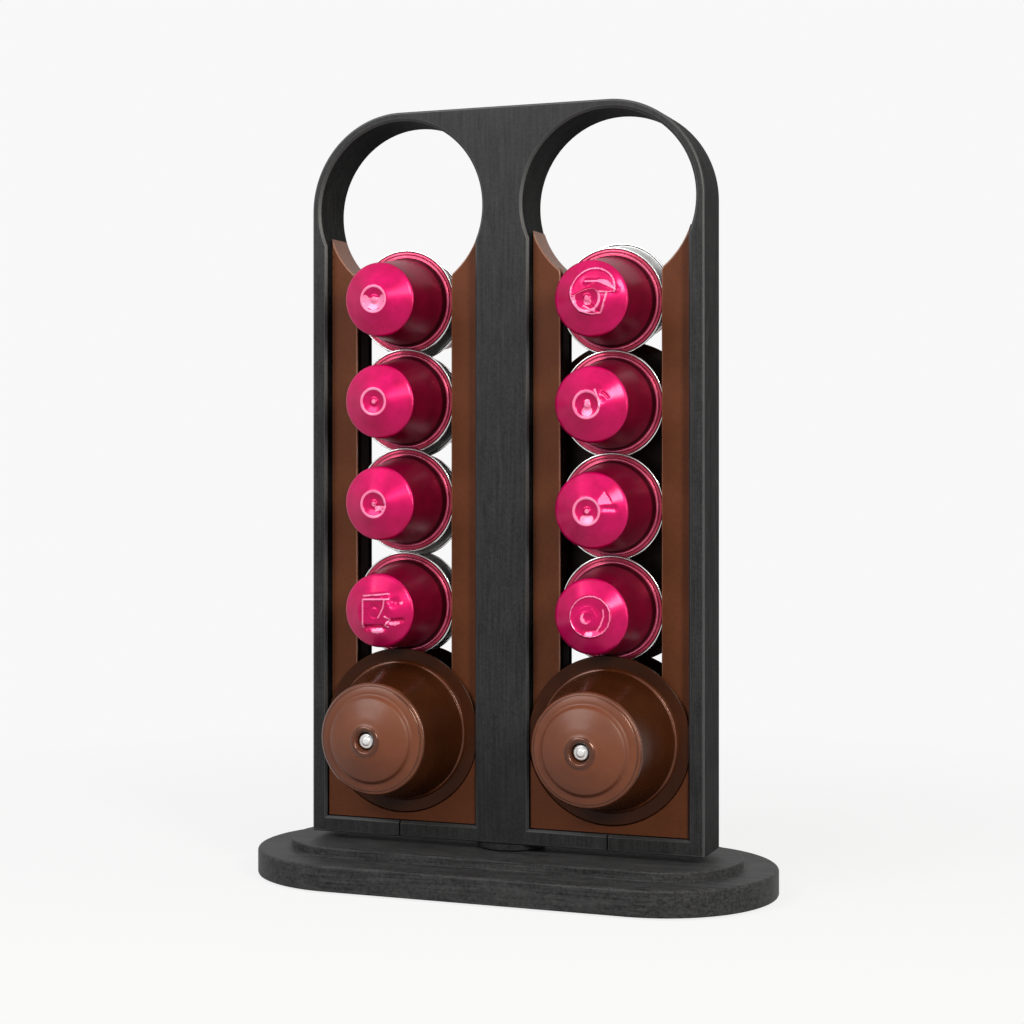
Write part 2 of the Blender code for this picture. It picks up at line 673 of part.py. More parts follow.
def make_capsules(finishes, swivel):
    small_lid = SMALL_RIM_RADIUS - SMALL_RIM_WIDTH - SEAT_GAP
    pieces = {
        "small": {
            "shell": shared_mesh("small_shell", small_profile(), SMALL_STEPS, finishes["pink"]),
            "lid": shared_mesh("small_lid", lid_profile(small_lid), SMALL_STEPS, finishes["foil"]),
        },
        "large": {
            "shell": shared_mesh("large_shell", large_profile(), LARGE_STEPS, finishes["brown"]),
            "lid": shared_mesh("large_lid", lid_profile(LARGE_LID_RADIUS), LARGE_STEPS, finishes["foil"]),
            "bead": shared_mesh("bead", bead_profile(), BEAD_STEPS, finishes["foil"]),
        },
    }
    for (side, column), kinds in BAYS.items():
        numbers = {"small": 0, "large": 0}
        for kind, height in zip(kinds, stack_heights((side, column))):
            numbers[kind] += 1
            name = "_".join((side, column, kind, str(numbers[kind])))
            plane, tilt = flange_place(kind, kinds)
            place_capsule(pieces, name, kind, (side, column, plane, tilt, height), swivel)


def build():
    clear_scene()
    charcoal = material("charcoal_print", (0.035, 0.035, 0.037), 0.72)
    chocolate = material("chocolate_print", (0.13, 0.052, 0.026), 0.42)
    rubber = material("foot_rubber", (0.02, 0.02, 0.02), 0.85)
    steel = material("screw_steel", (0.62, 0.62, 0.63), 0.32, 1.0)
    brass = material("insert_brass", (0.72, 0.52, 0.24), 0.35, 1.0)
    finishes = {
        "pink": material("pink_aluminium", (0.78, 0.012, 0.16), 0.32, 1.0),
        "brown": material("brown_plastic", (0.12, 0.045, 0.025), 0.3),
        "foil": material("silver_foil", (0.8, 0.8, 0.8), 0.25, 1.0),
    }
    make_base(charcoal)
    make_feet(rubber)
    swivel = bpy.data.objects.new("swivel_axis", None)
    bpy.context.scene.collection.objects.link(swivel)
    swivel.location.z = TOWER_BOTTOM
    make_pivot(steel, brass, swivel)
    make_frame(charcoal, swivel)
    for column in COLUMN_X:
        make_insert(column, chocolate, swivel)
    make_capsules(finishes, swivel)
    bpy.context.view_layer.update()


build()
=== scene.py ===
"""Looks of the two-column capsule tower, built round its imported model.

+Z is up and the front faces -Y. Lengths on the part are in millimetres and pass through
MM, those of the stage, lights and camera in metres. The sizes are those of the CAD
source, with its edges rounded.
"""
import math

import bmesh
import bpy
from mathutils import Matrix, Vector, noise


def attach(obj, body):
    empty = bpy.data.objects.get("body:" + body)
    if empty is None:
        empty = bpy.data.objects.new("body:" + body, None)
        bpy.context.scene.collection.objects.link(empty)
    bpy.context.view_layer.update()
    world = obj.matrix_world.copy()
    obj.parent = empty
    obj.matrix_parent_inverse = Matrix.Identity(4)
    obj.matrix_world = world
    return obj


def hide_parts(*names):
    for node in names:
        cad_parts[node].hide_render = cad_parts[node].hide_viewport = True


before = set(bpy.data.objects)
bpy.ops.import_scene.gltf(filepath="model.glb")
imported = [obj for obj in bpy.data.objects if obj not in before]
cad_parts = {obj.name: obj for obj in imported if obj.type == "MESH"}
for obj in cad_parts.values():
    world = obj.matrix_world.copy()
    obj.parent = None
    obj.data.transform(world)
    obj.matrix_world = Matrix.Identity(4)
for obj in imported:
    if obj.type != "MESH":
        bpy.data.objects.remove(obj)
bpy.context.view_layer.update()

MM = 0.001

# Base: heights from the worktop, tiers as length and width. The edge below and the seam
# between the tiers are a reach and the place where their profile bends.
FOOT_PROUD = 0.6
LOWER_TIER = (188.0, 81.0)
LOWER_TIER_TOP = 9.6
LOWER_TIER_EDGE = 1.0
UPPER_TIER = (164.5, 54.0)
BASE_TOP = 12.7
UPPER_TIER_EDGE = 0.5
UNDER_EDGE = (0.6, 0.18)
SEAM_EDGE = (0.35, 0.1)
POCKET_RADIUS = 6.6
POCKET_ROOF = 6.6
SCREW_BORE = 2.3
FOOT_WELL_RADIUS = 6.3
FOOT_WELL_ROOF = 2.1
FOOT_X = 68.0
FOOT_Y = 27.5
# The forms that are cut away stick out by this, below and above
CUT_BELOW = 2.0
CUT_ABOVE = 1.0

# The tower's own heights are measured from its underside
TOWER_BOTTOM = 15.1

# Camera solved from the photograph
CAMERA_PLACE = (0.2404, -0.6497, 0.1474)
CAMERA_TURN = 20.294
CAMERA_LENS = 69.646
CAMERA_SHIFT = -0.0506

# Tower frame
COLUMN_X = {"left": -38.2, "right": 38.2}
MOUTH_RADIUS = 30.8
MOUTH_HEIGHT = 220.8
FRAME_HALF_WIDTH = 72.0
FRAME_CORNER = 33.8
FRAME_HALF_DEPTH = 10.25
FRAME_EDGE = 0.7
KEYHOLE_EDGE = 0.8
SLOT_HALF = 28.3
TRACK_HALF = 29.2
TRACK_FACE = 9.05
TRACK_BACK = 6.47
COLUMN_FLOOR = 5.6
# The steps of all grooves lean by this, so that no two rings share a depth
TRACK_SLOPE = 0.02
SLIT_WIDTH = 0.6
SLIT_HEIGHT = 9.0
SLIT_MIDDLE = 3.0
SLIT_DEPTHS = ((-11.5, -8.25), (8.25, 11.5))
BOSS = [(0.0, -2.1), (11.7, -2.1), (12.0, -1.8), (12.0, 0.0), (9.4, 0.0), (9.4, 2.8), (0.0, 2.8)]
# After the face: a painted highlight on the edges, and painted shade on the outer and inner walls
FRAME_FINISHES = ("frame", "frame_edge_painted_highlight", "frame_side_painted_shade", "frame_inner_painted_shade")

# Inserts
INSERT_HALF_WIDTH = 28.0
INSERT_LOW = 5.9
INSERT_EDGE = 0.5
INSERT_MOUTH_RADIUS = 29.5
CHANNEL_HALF = 18.0
CHANNEL_TRACK = 18.9
CHANNEL_CORNER = 3.0
CHANNEL_LIP = 5.67
CHANNEL_GROOVE = 3.107
# Above this a rail's inner side is its arc, which takes a lighter brown: painted light from above
RAIL_TURN = 196.2
CRADLE_RADIUS = 29.1
CRADLE_HALF_DEPTH = 8.75
LOWEST_LARGE = 37.3
# After the face: a painted highlight on the edges, painted shade on the channel walls and painted light
# on the arc
INSERT_FINISHES = ("insert", "insert_edge_painted_highlight", "insert_inner_painted_shade", "insert_arc")

# The edge finish, a lighter colour that is a painted highlight, comes second for the frame and for the
# inserts
EDGE = 1

# Capsules: a stacked rim leans so far that it clears the next one, a pitch away. Planes are
# how far a flange's middle stands from the tower's own middle.
FLANGE_MIDDLE = 0.4
RIM_STEP = 1.1
SMALL_PITCH = 35.0
LARGE_PITCH = 53.7
SMALL_TILT = math.asin(RIM_STEP / SMALL_PITCH)
LARGE_TILT = math.asin(RIM_STEP / LARGE_PITCH)
SMALL_PLANE = 4.39
LARGE_PLANE_ALONE = 8.35
LARGE_PLANE_STACKED = 7.76
SMALL_HEIGHTS = {
    "front_left": (81.4, 118.2, 153.2, 188.2),
    "front_right": (81.4, 116.4, 151.4, 186.4),
    "rear_left": (81.4, 116.4, 151.4, 186.4),
    "rear_right": (188.8,),
}

# Lids: inside the flat share of its radius a lid swells towards the nose and wrinkles
SMALL_LID_RADIUS = 17.3
LARGE_LID_RADIUS = 25.8
LID_THICKNESS = 0.3
LID_RINGS = 24
LID_FLAT = 0.93
LID_SWELL = 0.06
WRINKLE_CELLS = 0.35
WRINKLE_RISE = 0.1

# How many straight steps make up each round form
CORNER_STEPS = 48
MOUTH_STEPS = 128
TIER_END_STEPS = 72
RAIL_ARC_STEPS = 24
RAIL_NOSE_STEPS = 16
WELL_STEPS = 64
BOSS_STEPS = 96
POCKET_STEPS = 64
FOOT_WELL_STEPS = 48
FRONT_SMALL_STEPS = 208
REAR_SMALL_STEPS = 96
LARGE_STEPS = 192
BEAD_STEPS = 48
LID_STEPS = 96

SHARP_ANGLE = math.radians(40)


def srgb(red, green, blue):
    """Linear colour from 8-bit display values."""
    out = []
    for value in (red, green, blue):
        share = value / 255
        out.append(share / 12.92 if share <= 0.04045 else ((share + 0.055) / 1.055) ** 2.4)
    return (*out, 1.0)


# Materials

def new_material(name):
    made = bpy.data.materials.new(name)
    made.use_nodes = True
    return made, made.node_tree, made.node_tree.nodes["Principled BSDF"]


def add(tree, kind, settings=None, **inputs):
    """A node with its settings, its inputs set to values or joined to sockets."""
    made = tree.nodes.new(kind)
    for key, value in (settings or {}).items():
        setattr(made, key, value)
    for key, value in inputs.items():
        put(tree, made, key.replace("_", " "), value)
    return made


def put(tree, made, key, value):
    """Set an input, named or numbered, to a value or join it to a socket."""
    target = made.inputs[int(key)] if key.isdigit() else made.inputs[key]
    if isinstance(value, bpy.types.NodeSocket):
        tree.links.new(value, target)
    else:
        target.default_value = value


def stretched(tree, scale):
    """Object coordinates in metres, stretched by a scale on each axis."""
    place = add(tree, "ShaderNodeTexCoord")
    mapped = add(tree, "ShaderNodeMapping", Vector=place.outputs["Object"], Scale=scale)
    return mapped.outputs["Vector"]


def noise_field(tree, scale, detail, rough=0.6):
    """Noise whose grain has the given number of cells a metre on each axis."""
    field = add(tree, "ShaderNodeTexNoise", Vector=stretched(tree, scale), Scale=1.0,
                Detail=detail, Roughness=rough)
    return field.outputs["Fac"]


def spread(tree, value, low, high, out_low, out_high):
    """Map a value from one range to another, clamped."""
    made = add(tree, "ShaderNodeMapRange", Value=value, From_Min=low, From_Max=high,
               To_Min=out_low, To_Max=out_high)
    return made.outputs["Result"]


def blend_colour(tree, share, first, second):
    """Mix two colours, on the Mix node's own sockets for colours."""
    made = add(tree, "ShaderNodeMix", {"data_type": "RGBA"}, Factor=share)
    put(tree, made, "6", first)
    put(tree, made, "7", second)
    return made.outputs[2]


def math_of(tree, operation, first, second):
    made = add(tree, "ShaderNodeMath", {"operation": operation})
    put(tree, made, "0", first)
    put(tree, made, "1", second)
    return made.outputs[0]


def bumped(tree, height, strength, distance, normal=None):
    """A normal bumped by a height, on top of another one if that is given."""
    made = add(tree, "ShaderNodeBump", Height=height, Strength=strength, Distance=distance)
    if normal is not None:
        tree.links.new(normal, made.inputs["Normal"])
    return made.outputs["Normal"]


def lines_field(tree, axes, across, along):
    """Noise drawn out into lines: fine on the given axes and coarse on the others."""
    return noise_field(tree, tuple(across if axis in axes else along for axis in "XYZ"), 2.0)


def printed(name, dark, light, layers, roughness, specular):
    """Printed plastic: fine lines across the given axes and a grain over all of it."""
    made, tree, shader = new_material(name)
    layer = lines_field(tree, layers, 2600.0, 40.0)
    band = lines_field(tree, layers, 900.0, 60.0)
    grain = noise_field(tree, (1000.0, 1000.0, 1000.0), 4.0, 0.75)
    mottle = noise_field(tree, (140.0, 140.0, 140.0), 5.0, 0.7)
    tone = math_of(tree, "MULTIPLY", layer, 0.2)
    for field, weight in ((band, 0.25), (grain, 0.4), (mottle, 0.15)):
        tone = math_of(tree, "ADD", tone, math_of(tree, "MULTIPLY", field, weight))
    share = spread(tree, tone, 0.4, 0.6, 0.0, 1.0)
    tree.links.new(blend_colour(tree, share, dark, light), shader.inputs["Base Color"])
    tree.links.new(spread(tree, grain, 0.3, 0.7, roughness - 0.06, roughness + 0.06),
                   shader.inputs["Roughness"])
    shader.inputs["Specular IOR Level"].default_value = specular
    normal = bumped(tree, layer, 0.5, 0.00006)
    normal = bumped(tree, grain, 0.35, 0.00008, normal)
    tree.links.new(normal, shader.inputs["Normal"])
    return made


def lacquered(name, dark, light, metallic, roughness, specular, coat=0.0):
    """Lacquer on drawn aluminium: cloudy handling marks, slow waves and a fine grain."""
    made, tree, shader = new_material(name)
    cloud = noise_field(tree, (170.0, 170.0, 170.0), 4.0, 0.65)
    wave = noise_field(tree, (75.0, 75.0, 75.0), 2.0)
    fine = noise_field(tree, (2400.0, 2400.0, 2400.0), 2.0)
    share = spread(tree, cloud, 0.35, 0.68, 0.0, 1.0)
    tree.links.new(blend_colour(tree, share, dark, light), shader.inputs["Base Color"])
    shader.inputs["Metallic"].default_value = metallic
    tree.links.new(spread(tree, cloud, 0.3, 0.7, roughness - 0.04, roughness + 0.05),
                   shader.inputs["Roughness"])
    shader.inputs["Specular IOR Level"].default_value = specular
    shader.inputs["Coat Weight"].default_value = coat
    shader.inputs["Coat Roughness"].default_value = 0.2
    normal = bumped(tree, wave, 0.12, 0.0006)
    normal = bumped(tree, cloud, 0.18, 0.00015, normal)
    normal = bumped(tree, fine, 0.15, 0.00003, normal)
    tree.links.new(normal, shader.inputs["Normal"])
    return made


def moulded(name, dark, light, roughness, specular, coat=0.0):
    """Moulded plastic with a faint flow pattern and fine surface grain."""
    made, tree, shader = new_material(name)
    flow = noise_field(tree, (60.0, 60.0, 60.0), 4.0, 0.6)
    grain = noise_field(tree, (1800.0, 1800.0, 1800.0), 3.0, 0.6)
    share = spread(tree, flow, 0.35, 0.65, 0.0, 1.0)
    tree.links.new(blend_colour(tree, share, dark, light), shader.inputs["Base Color"])
    tree.links.new(spread(tree, grain, 0.3, 0.7, roughness - 0.05, roughness + 0.05),
                   shader.inputs["Roughness"])
    shader.inputs["Specular IOR Level"].default_value = specular
    shader.inputs["Coat Weight"].default_value = coat
    shader.inputs["Coat Roughness"].default_value = 0.15
    tree.links.new(bumped(tree, grain, 0.12, 0.00004), shader.inputs["Normal"])
    return made


FINISH = {
    "frame": printed("charcoal_print_face", srgb(17, 17, 18), srgb(48, 48, 49), "XY", 0.5, 0.22),
    # Rounded edges: the charcoal made lighter and glossier, a painted highlight
    "frame_edge_painted_highlight": printed("charcoal_print_painted_edge_highlight", srgb(44, 44, 45), srgb(60, 60, 61), "Y", 0.42, 0.45),
    # Outer walls: the charcoal made darker and duller, painted shade on the sides and top
    "frame_side_painted_shade": printed("charcoal_print_painted_side_shade", srgb(11, 11, 12), srgb(49, 49, 50), "Y", 0.8, 0.08),
    # Keyhole walls: the charcoal made darker and matt, painted shade in the recess
    "frame_inner_painted_shade": printed("charcoal_print_painted_inner_shade", srgb(15, 15, 16), srgb(45, 45, 46), "Y", 0.85, 0.05),
    "base": printed("charcoal_print_base", srgb(9, 9, 10), srgb(66, 66, 67), "YZ", 0.6, 0.2),
    "insert": printed("chocolate_print_face", srgb(89, 47, 26), srgb(103, 57, 34), "Y", 0.5, 0.15),
    # Rounded edges: a lighter, glossier brown, a painted highlight
    "insert_edge_painted_highlight": printed("chocolate_print_painted_edge_highlight", srgb(126, 80, 56), srgb(142, 92, 66), "Y", 0.3, 0.6),
    # Arc wall at the mouth: the brown made lighter, painted light from above
    "insert_arc": printed("chocolate_print_arc", srgb(98, 60, 43), srgb(114, 71, 52), "Y", 0.45, 0.25),
    # Channel walls: the brown made near black, painted shade in the recess
    "insert_inner_painted_shade": printed("chocolate_print_painted_inner_shade", srgb(24, 13, 9), srgb(42, 24, 16), "Y", 0.8, 0.05),
    "cap": lacquered("pink_cap", srgb(186, 1, 80), srgb(208, 3, 96), 0.38, 0.32, 0.0, 0.36),
    # A pale pink on the nose's middle, the dimple's crest, a thin line on the flange and the folds: a
    # painted highlight
    "painted_highlight": lacquered("pink_worn", srgb(252, 118, 168), srgb(255, 150, 192), 0.1, 0.3, 0.3, 0.3),
    # The body: the cap's lacquer darkened to maroon, a painted dark reflection
    "body": lacquered("maroon_body_painted_dark_reflection", srgb(114, 2, 37), srgb(132, 3, 47), 0.35, 0.38, 0.08),
    # A darker band where the body runs into the flange, a painted shade
    "foot": lacquered("maroon_foot_painted_shade", srgb(52, 1, 13), srgb(66, 2, 20), 0.35, 0.34, 0.08),
    "flange": lacquered("pink_flange", srgb(160, 46, 72), srgb(182, 68, 94), 0.8, 0.24, 0.2),
    "rim": lacquered("silver_rim", srgb(222, 222, 221), srgb(238, 238, 237), 1.0, 0.24, 0.5),
    # Small lids: a dull foil dimmed below the rim's silver, partly its own dull tone and partly painted
    # shade for the gaps between capsules
    "foil": lacquered("lid_foil", srgb(146, 146, 145), srgb(168, 168, 167), 0.95, 0.4, 0.3),
    # Large lids: a near-black foil put where the gaps between capsules lie in shade, a painted shade
    "painted_shade_foil": lacquered("large_lid_foil", srgb(34, 28, 25), srgb(48, 38, 33), 0.6, 0.5, 0.2),
    "brown": moulded("brown_nose", srgb(104, 55, 34), srgb(116, 65, 42), 0.42, 0.3, 0.06),
    # The large capsule's sides, flange and outlet floor: the nose's brown darkened, a painted shade
    "brown_painted_shade": moulded("brown_flange", srgb(56, 26, 10), srgb(66, 33, 16), 0.24, 0.1),
    "copper": lacquered("bead_ring", srgb(78, 38, 18), srgb(98, 50, 26), 0.3, 0.24, 0.5),
    "bead": lacquered("bead_silver", srgb(228, 228, 230), srgb(242, 242, 243), 0.2, 0.2, 0.5),
    "rubber": moulded("foot_rubber_grain", srgb(22, 22, 22), srgb(30, 30, 30), 0.8, 0.3),
    "steel": lacquered("screw_steel_dull", srgb(180, 180, 182), srgb(200, 200, 202), 1.0, 0.3, 0.5),
    "brass": lacquered("insert_brass_dull", srgb(196, 160, 92), srgb(214, 180, 110), 1.0, 0.3, 0.5),
}


# Meshes

def finish_piece(name, bm, finishes, place, body, slot, *nodes):
    bmesh.ops.transform(bm, matrix=place, verts=bm.verts)
    bmesh.ops.recalc_face_normals(bm, faces=bm.faces)
    mesh = bpy.data.meshes.new(name)
    bm.to_mesh(mesh)
    bm.free()
    mesh.shade_smooth()
    mesh.set_sharp_from_angle(angle=SHARP_ANGLE)
    for key in finishes:
        mesh.materials.append(FINISH[key])
    made = bpy.data.objects.new(name, mesh)
    bpy.context.scene.collection.objects.link(made)
    weigh = made.modifiers.new("weighted_normals", 'WEIGHTED_NORMAL')
    weigh.keep_sharp = True
    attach(made, body)
    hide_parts(*nodes)
    return made


def tower_place(x=0.0):
    return Matrix.Translation((x * MM, 0.0, TOWER_BOTTOM * MM)) @ Matrix.Scale(MM, 4)


def arc(centre_x, centre_z, radius, start, end, steps):
    """Places along an arc, both ends with them."""
    turn = (end - start) / steps
    angles = [start + turn * i for i in range(steps + 1)]
    return [(centre_x + radius * math.cos(a), centre_z + radius * math.sin(a)) for a in angles]


def ring_of(bm, outline, depth):
    return [bm.verts.new((x, depth, z)) for x, z in outline]


def bridge(bm, near, far, index=0):
    """A closed band of faces between two rings."""
    count = len(near)
    for i in range(count):
        j = (i + 1) % count
        bm.faces.new((near[i], near[j], far[j], far[i])).material_index = index


def fill(bm, rings):
    """Fill an outline, whose other rings are holes in it."""
    edges = []
    for ring in rings:
        for i, vert in enumerate(ring):
            after = ring[(i + 1) % len(ring)]
            edges.append(bm.edges.get((vert, after)) or bm.edges.new((vert, after)))
    bmesh.ops.triangle_fill(bm, edges=edges, use_beauty=True)


def rounded(points, steps=4):
    """A profile whose corners are rounded. Each point is two places and a corner radius."""
    out = []
    for i, (x, z, radius) in enumerate(points):
        if radius == 0.0 or i in (0, len(points) - 1):
            out.append((x, z))
            continue
        here = Vector((x, z))
        back = Vector(points[i - 1][:2]) - here
        ahead = Vector(points[i + 1][:2]) - here
        reach = min(radius, back.length * 0.49, ahead.length * 0.49)
        first = here + back.normalized() * reach
        last = here + ahead.normalized() * reach
        for k in range(steps + 1):
            t = k / steps
            spot = first * (1 - t) ** 2 + here * 2 * t * (1 - t) + last * t ** 2
            out.append((spot.x, spot.y))
    return out


def round_edge(face, radius, steps=4):
    """Depth and easing of each level across a rounded edge, from the face inwards."""
    levels = []
    for i in range(steps + 1):
        turn = math.pi / 2 * i / steps
        levels.append((face - radius * (1 - math.cos(turn)), radius * (1 - math.sin(turn))))
    return levels


def bevel_edge(face, size, soft=0.14, lead=1.0):
    """The same for a flat bevel, softened at its two corners. The leads only give directions."""
    corners = [(face, size + lead, 0), (face, size, soft), (face - size, 0.0, soft),
               (face - size - lead, 0.0, 0)]
    return rounded(corners, 3)[1:-1]


def both_sides(front):
    """Levels for the front half, mirrored for the rear half."""
    return [(-depth, *rest) for depth, *rest in front] + [
        (depth, *rest) for depth, *rest in reversed(front)]


def bridge_levels(bm, stack, edge_spans, wall):
    """Bridge a stack of rings: its first and last spans are edge, those between are wall."""
    last = len(stack) - 1 - edge_spans
    for i, (near, far) in enumerate(zip(stack, stack[1:])):
        bridge(bm, near, far, wall if edge_spans <= i < last else EDGE)


def frame_outline(eased):
    """The plate seen from the front: straight sides that run into the rounded top."""
    side = FRAME_HALF_WIDTH - eased
    radius = FRAME_CORNER - eased
    right = arc(COLUMN_X["right"], MOUTH_HEIGHT, radius, 0.0, math.pi / 2, CORNER_STEPS)
    left = arc(COLUMN_X["left"], MOUTH_HEIGHT, radius, math.pi / 2, math.pi, CORNER_STEPS)
    return [(-side, eased), (side, eased)] + right + left


def keyhole(middle, eased, half):
    """An opening seen from the front: a slot that runs up into the round mouth."""
    half += eased
    radius = MOUTH_RADIUS + eased
    join = math.acos(half / radius)
    mouth = arc(middle, MOUTH_HEIGHT, radius, -join, math.pi + join, MOUTH_STEPS)
    low = COLUMN_FLOOR - eased
    return [(middle - half, low), (middle + half, low)] + mouth


def make_frame():
    """The plate with its two keyholes, the grooves behind their lips, the slits and the boss."""
    bm = bmesh.new()
    outer = round_edge(FRAME_HALF_DEPTH, FRAME_EDGE)
    inner = bevel_edge(FRAME_HALF_DEPTH, KEYHOLE_EDGE)
    hole_levels = both_sides([(depth, eased, SLOT_HALF) for depth, eased in inner] + [
        (TRACK_FACE, 0.0, SLOT_HALF), (TRACK_FACE - TRACK_SLOPE, 0.0, TRACK_HALF),
        (TRACK_BACK + TRACK_SLOPE, 0.0, TRACK_HALF), (TRACK_BACK, 0.0, SLOT_HALF)])
    skin = [ring_of(bm, frame_outline(eased), depth) for depth, eased in both_sides(outer)]
    # The outer walls take the darker finish, a painted shade
    bridge_levels(bm, skin, len(outer) - 1, FRAME_FINISHES.index("frame_side_painted_shade"))
    stacks = [skin]
    for middle in COLUMN_X.values():
        stack = [ring_of(bm, keyhole(middle, eased, half), depth)
                 for depth, eased, half in hole_levels]
        # The walls inside the keyholes take the darker finish, a painted shade
        bridge_levels(bm, stack, len(inner) - 1, FRAME_FINISHES.index("frame_inner_painted_shade"))
        stacks.append(stack)
    fill(bm, [stack[0] for stack in stacks])
    fill(bm, [stack[-1] for stack in stacks])
    made = finish_piece("tower_frame_print", bm, FRAME_FINISHES, tower_place(), "tower",
                        "charcoal_print", "tower_frame")
    slits = bmesh.new()
    for middle in COLUMN_X.values():
        for low, high in SLIT_DEPTHS:
            box = bmesh.ops.create_cube(slits, size=1.0)["verts"]
            bmesh.ops.scale(slits, vec=(SLIT_WIDTH, high - low, SLIT_HEIGHT), verts=box)
            bmesh.ops.translate(slits, vec=(middle, (low + high) / 2, SLIT_MIDDLE), verts=box)
    cut(made, slits, 'DIFFERENCE')
    boss = bmesh.new()
    revolve(boss, BOSS, BOSS_STEPS)
    cut(made, boss, 'UNION')


def cut(target, bm, operation):
    """Apply a Boolean with a tool given in tower millimetres, then drop the tool."""
    bmesh.ops.transform(bm, matrix=tower_place(), verts=bm.verts)
    bmesh.ops.recalc_face_normals(bm, faces=bm.faces)
    mesh = bpy.data.meshes.new("tool")
    bm.to_mesh(mesh)
    bm.free()
    tool = bpy.data.objects.new("tool", mesh)
    bpy.context.scene.collection.objects.link(tool)
    step = target.modifiers.new("boolean", 'BOOLEAN')
    step.operation = operation
    step.solver = 'EXACT'
    step.object = tool
    target.modifiers.move(len(target.modifiers) - 1, 0)
    bpy.context.view_layer.update()
    graph = bpy.context.evaluated_depsgraph_get()
    weigh = target.modifiers["weighted_normals"]
    weigh.show_viewport = False
    fresh = bpy.data.meshes.new_from_object(target.evaluated_get(graph))
    weigh.show_viewport = True
    target.modifiers.remove(target.modifiers["boolean"])
    target.data = fresh
    bpy.data.objects.remove(tool, do_unlink=True)


def revolve(bm, profile, steps, indices=None):
    """Turn a profile of radius and height about Z. Each span may have its own finish."""
    rows = []
    for radius, height in profile:
        count = steps if radius > 0.0 else 1
        angles = [2 * math.pi * i / count for i in range(count)]
        rows.append([bm.verts.new((radius * math.cos(a), radius * math.sin(a), height))
                     for a in angles])
    for span, (near, far) in enumerate(zip(rows, rows[1:])):
        for i in range(steps):
            j = (i + 1) % steps
            corners = [near[i % len(near)], near[j % len(near)], far[j % len(far)], far[i % len(far)]]
            face = bm.faces.new(list(dict.fromkeys(corners)))
            face.material_index = indices[span] if indices else 0


def insert_outline(eased, edge, corner):
    """The U seen from the front: rails that end in an arc round the mouth, and the round well."""
    half = INSERT_HALF_WIDTH - eased
    low = INSERT_LOW + eased
    radius = INSERT_MOUTH_RADIUS + eased
    edge += eased
    corner -= eased
    corner_x = edge + corner
    reach = radius + corner
    corner_z = MOUTH_HEIGHT - math.sqrt(reach ** 2 - corner_x ** 2)
    lean = math.acos(corner_x / reach)
    tip = math.acos(half / radius)
    rim = arc(0.0, MOUTH_HEIGHT, radius, -tip, -lean, RAIL_ARC_STEPS)
    nose = arc(corner_x, corner_z, corner, math.pi - lean, math.pi, RAIL_NOSE_STEPS)
    right = rim + nose[1:]
    left = [(-x, z) for x, z in reversed(right)]
    well = arc(0.0, LOWEST_LARGE, edge, 0.0, -math.pi, WELL_STEPS)
    return [(-half, low), (half, low)] + right + well + left


def cradle_outline():
    """The block under the channel, hollowed to the lowest large capsule's flange."""
    lean = math.acos(INSERT_HALF_WIDTH / CRADLE_RADIUS)
    hollow = arc(0.0, LOWEST_LARGE, CRADLE_RADIUS, -lean, -math.pi + lean, WELL_STEPS)
    return [(-INSERT_HALF_WIDTH, INSERT_LOW), (INSERT_HALF_WIDTH, INSERT_LOW)] + hollow


def make_insert(column):
    """One column's U with the grooves for the small flanges, joined to its cradle block."""
    bm = bmesh.new()
    # The channel walls take the near-black finish, a painted shade
    wall = INSERT_FINISHES.index("insert_inner_painted_shade")
    wide = CHANNEL_TRACK - CHANNEL_HALF
    edge_levels = round_edge(TRACK_BACK, INSERT_EDGE)
    levels = [(depth, eased, CHANNEL_HALF, CHANNEL_CORNER) for depth, eased in edge_levels]
    levels += [(CHANNEL_LIP, 0.0, CHANNEL_HALF, CHANNEL_CORNER),
               (CHANNEL_LIP - TRACK_SLOPE, 0.0, CHANNEL_TRACK, CHANNEL_CORNER - wide),
               (CHANNEL_GROOVE + TRACK_SLOPE, 0.0, CHANNEL_TRACK, CHANNEL_CORNER - wide),
               (CHANNEL_GROOVE, 0.0, CHANNEL_HALF, CHANNEL_CORNER)]
    stack = [ring_of(bm, insert_outline(eased, edge, corner), depth)
             for depth, eased, edge, corner in both_sides(levels)]
    bridge_levels(bm, stack, len(edge_levels) - 1, wall)
    # The arc at the top of the channel walls is painted lighter, as if lit from above
    for face in bm.faces:
        if face.material_index == wall and face.calc_center_median().z > RAIL_TURN:
            face.material_index = INSERT_FINISHES.index("insert_arc")
    fill(bm, [stack[0]])
    fill(bm, [stack[-1]])
    made = finish_piece(column + "_insert_print", bm, INSERT_FINISHES,
                        tower_place(COLUMN_X[column]), "tower", "chocolate_print",
                        column + "_insert")
    cradle = bmesh.new()
    near = ring_of(cradle, cradle_outline(), -CRADLE_HALF_DEPTH)
    far = ring_of(cradle, cradle_outline(), CRADLE_HALF_DEPTH)
    bridge(cradle, near, far)
    fill(cradle, [near])
    fill(cradle, [far])
    bmesh.ops.translate(cradle, vec=(COLUMN_X[column], 0.0, 0.0), verts=cradle.verts)
    cut(made, cradle, 'UNION')


def stadium(length, width, inset, height):
    """An outline with round ends, drawn in by the inset."""
    radius = width / 2 - inset
    straight = (length - width) / 2
    quarter = math.pi / 2
    right = arc(straight, 0.0, radius, -quarter, quarter, TIER_END_STEPS)
    left = arc(-straight, 0.0, radius, quarter, 3 * quarter, TIER_END_STEPS)
    return [(x, y, height) for x, y in right + left]


